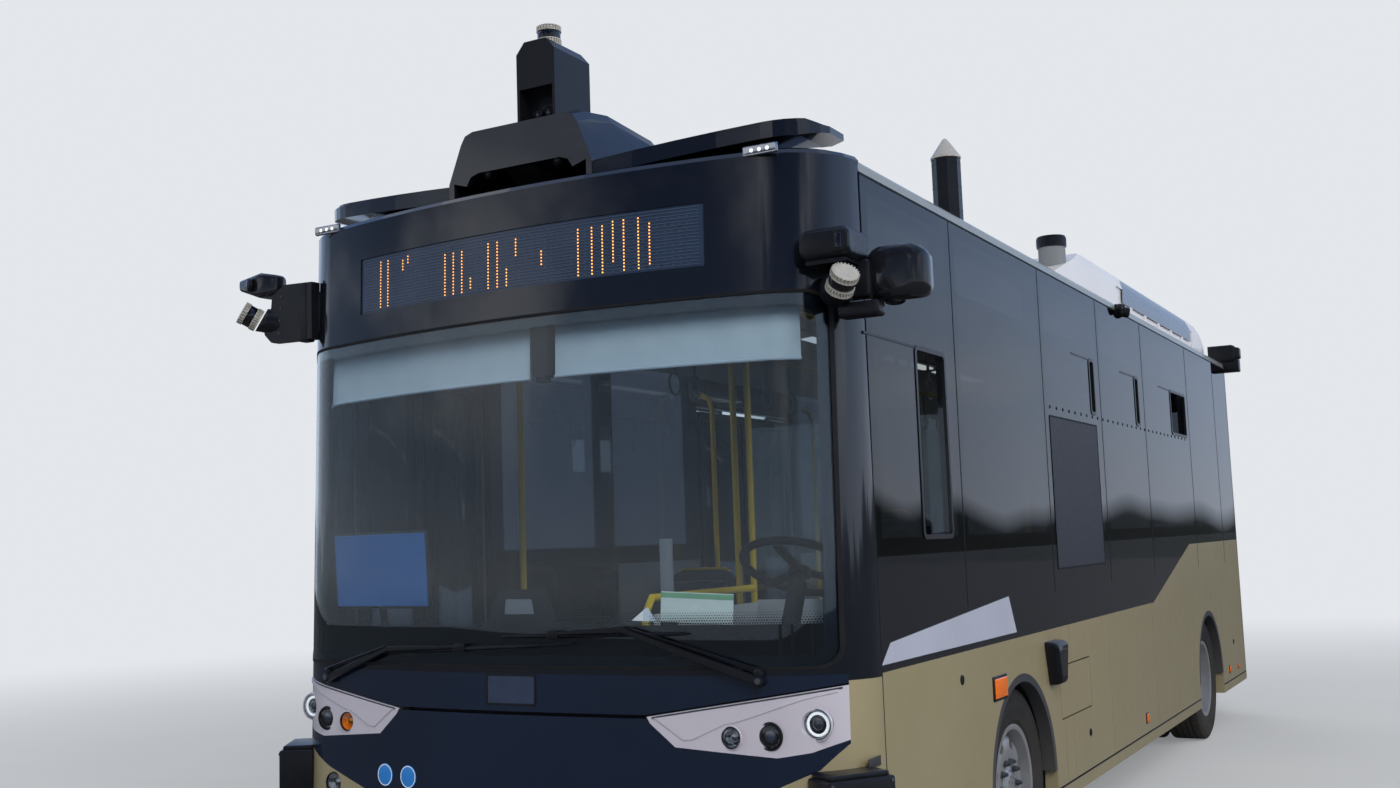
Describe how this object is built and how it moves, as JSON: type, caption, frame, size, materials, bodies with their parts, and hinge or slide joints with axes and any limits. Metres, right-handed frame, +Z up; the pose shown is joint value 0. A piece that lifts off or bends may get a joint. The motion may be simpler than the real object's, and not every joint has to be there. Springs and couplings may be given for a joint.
{
  "type": "airport passenger bus",
  "caption": "Low-floor electric airport midibus with wrap-round glazing, roof and corner sensors, steered front wheels, twin rear wheels, gliding doors, side flap and rear hatch.",
  "frame": {"origin": "on the ground below the middle of the bus", "axes": "+Z up, front faces -Y, the driver's side (the bus's left) is +X, passenger doors on -X"},
  "size_m": [2.979, 8.3, 3.5103],
  "materials": {
    "gold_paint": "satin metallic",
    "black_gloss": "gloss",
    "navy_paint": "gloss",
    "white_paint": "gloss",
    "cantrail_paint": "satin metallic",
    "silver_trim": "satin",
    "dark_plastic": "matt",
    "white_plastic": "gloss",
    "window_glass": "tinted",
    "clear_glass": "clear",
    "lamp_glass": "clear",
    "steel_paint": "matt",
    "cast_steel": "as cast",
    "floor_covering": "matt",
    "tyre_rubber": "matt",
    "rim_steel": "satin",
    "rail_yellow": "gloss",
    "seat_shell": "satin",
    "seat_fabric": "woven",
    "blind_cloth": "woven",
    "amber_lens": "gloss",
    "brushed": "brushed"
  },
  "bodies": {
    "body": {"chassis": "steel_paint", "front_axle": "cast_steel", "rear_axle": "cast_steel", "battery_pack": "steel_paint", "floor": "floor_covering", "wheel_boxes": "dark_plastic", "left_side": "gold_paint", "right_side": "gold_paint", "left_window_band": "black_gloss", "right_window_band": "black_gloss", "window_panes": "window_glass", "cantrails": "cantrail_paint", "roof": "white_paint", "front_bumper": "gold_paint", "front_mask": "black_gloss", "windshield": "clear_glass", "lamp_housings": "silver_trim", "lamps": "lamp_glass", "rear_panel": "gold_paint", "rear_mask": "black_gloss", "arch_lips": "dark_plastic", "roof_fairing": "black_gloss", "sensor_tower": "black_gloss", "corner_brackets": "black_gloss", "scanners": "white_plastic", "air_conditioner": "white_plastic", "roof_fittings": "dark_plastic", "dashboard": "dark_plastic", "driver_seat": "seat_fabric", "driver_screen": "clear_glass", "passenger_seats": "seat_shell", "grab_rails": "rail_yellow", "roller_blinds": "blind_cloth", "route_display": "black_gloss", "wipers": "dark_plastic", "side_fittings": "amber_lens", "front_panel": "navy_paint"},
    "steering_left": {"knuckle_left": "cast_steel"},
    "steering_right": {"knuckle_right": "cast_steel"},
    "wheel_front_left": {"tyre_front_left": "tyre_rubber", "rim_front_left": "rim_steel"},
    "wheel_front_right": {"tyre_front_right": "tyre_rubber", "rim_front_right": "rim_steel"},
    "wheels_rear_left": {"tyres_rear_left": "tyre_rubber", "rims_rear_left": "rim_steel"},
    "wheels_rear_right": {"tyres_rear_right": "tyre_rubber", "rims_rear_right": "rim_steel"},
    "handwheel": {"steering_wheel": "dark_plastic"},
    "front_arm_1": {"front_door_arm_1": "brushed"},
    "front_arm_2": {"front_door_arm_2": "brushed"},
    "mid_arm_1": {"mid_door_arm_1": "brushed"},
    "mid_arm_2": {"mid_door_arm_2": "brushed"},
    "front_leaf_1": {"front_door_leaf_1": "black_gloss"},
    "front_leaf_2": {"front_door_leaf_2": "black_gloss"},
    "mid_leaf_1": {"mid_door_leaf_1": "black_gloss"},
    "mid_leaf_2": {"mid_door_leaf_2": "black_gloss"},
    "flap": {"side_flap": "gold_paint"},
    "hatch": {"rear_hatch": "gold_paint"}
  },
  "joints": [
    {"name": "steer_left", "type": "hinge", "parent": "body", "child": "steering_left", "pos_m": [0.93, -2.14, 0.419], "axis": [0, 0, 1], "range_deg": [-38, 38]},
    {"name": "steer_right", "type": "hinge", "parent": "body", "child": "steering_right", "pos_m": [-0.93, -2.14, 0.419], "axis": [0, 0, 1], "range_deg": [-38, 38]},
    {"name": "handwheel_turn", "type": "hinge", "parent": "body", "child": "handwheel", "pos_m": [0.8155, -3.45, 1.4], "axis": [0, 0.4695, 0.8829], "range_deg": [-650, 650]},
    {"name": "wheel_front_left_spin", "type": "hinge", "parent": "steering_left", "child": "wheel_front_left", "pos_m": [1.053, -2.14, 0.419], "axis": [1, 0, 0], "continuous": true},
    {"name": "wheel_front_right_spin", "type": "hinge", "parent": "steering_right", "child": "wheel_front_right", "pos_m": [-1.053, -2.14, 0.419], "axis": [1, 0, 0], "continuous": true},
    {"name": "wheels_rear_left_spin", "type": "hinge", "parent": "body", "child": "wheels_rear_left", "pos_m": [1.053, 2.4, 0.419], "axis": [1, 0, 0], "continuous": true},
    {"name": "wheels_rear_right_spin", "type": "hinge", "parent": "body", "child": "wheels_rear_right", "pos_m": [-1.053, 2.4, 0.419], "axis": [1, 0, 0], "continuous": true},
    {"name": "front_door_arm_1_swing", "type": "hinge", "parent": "body", "child": "front_arm_1", "pos_m": [-1.1915, -3.629, 1.3], "axis": [0, 0, -1], "range_deg": [0, 90]},
    {"name": "front_door_leaf_1_turn", "type": "hinge", "parent": "front_arm_1", "child": "front_leaf_1", "pos_m": [-1.1915, -3.401, 1.3], "axis": [0, 0, -1], "range_deg": [-180, 0]},
    {"name": "front_door_arm_2_swing", "type": "hinge", "parent": "body", "child": "front_arm_2", "pos_m": [-1.1915, -2.751, 1.3], "axis": [0, 0, 1], "range_deg": [0, 90]},
    {"name": "front_door_leaf_2_turn", "type": "hinge", "parent": "front_arm_2", "child": "front_leaf_2", "pos_m": [-1.1915, -2.979, 1.3], "axis": [0, 0, 1], "range_deg": [-180, 0]},
    {"name": "mid_door_arm_1_swing", "type": "hinge", "parent": "body", "child": "mid_arm_1", "pos_m": [-1.1915, -0.654, 1.3], "axis": [0, 0, -1], "range_deg": [0, 90]},
    {"name": "mid_door_leaf_1_turn", "type": "hinge", "parent": "mid_arm_1", "child": "mid_leaf_1", "pos_m": [-1.1915, -0.3185, 1.3], "axis": [0, 0, -1], "range_deg": [-180, 0]},
    {"name": "mid_door_arm_2_swing", "type": "hinge", "parent": "body", "child": "mid_arm_2", "pos_m": [-1.1915, 0.654, 1.3], "axis": [0, 0, 1], "range_deg": [0, 90]},
    {"name": "mid_door_leaf_2_turn", "type": "hinge", "parent": "mid_arm_2", "child": "mid_leaf_2", "pos_m": [-1.1915, 0.3185, 1.3], "axis": [0, 0, 1], "range_deg": [-180, 0]},
    {"name": "side_flap_swing", "type": "hinge", "parent": "body", "child": "flap", "pos_m": [1.2135, -1.536, 0.7475], "axis": [0, 0, -1], "range_deg": [0, 120]},
    {"name": "rear_hatch_lift", "type": "hinge", "parent": "body", "child": "hatch", "pos_m": [0, 4.14, 1.3045], "axis": [1, 0, 0], "range_deg": [0, 80]}
  ],
  "couplings": [
    {"joint": "steer_right", "follows": "steer_left", "ratio": 1},
    {"joint": "handwheel_turn", "follows": "steer_left", "ratio": 17},
    {"joint": "front_door_leaf_1_turn", "follows": "front_door_arm_1_swing", "ratio": -2},
    {"joint": "front_door_leaf_2_turn", "follows": "front_door_arm_2_swing", "ratio": -2},
    {"joint": "mid_door_leaf_1_turn", "follows": "mid_door_arm_1_swing", "ratio": -2},
    {"joint": "mid_door_leaf_2_turn", "follows": "mid_door_arm_2_swing", "ratio": -2}
  ]
}
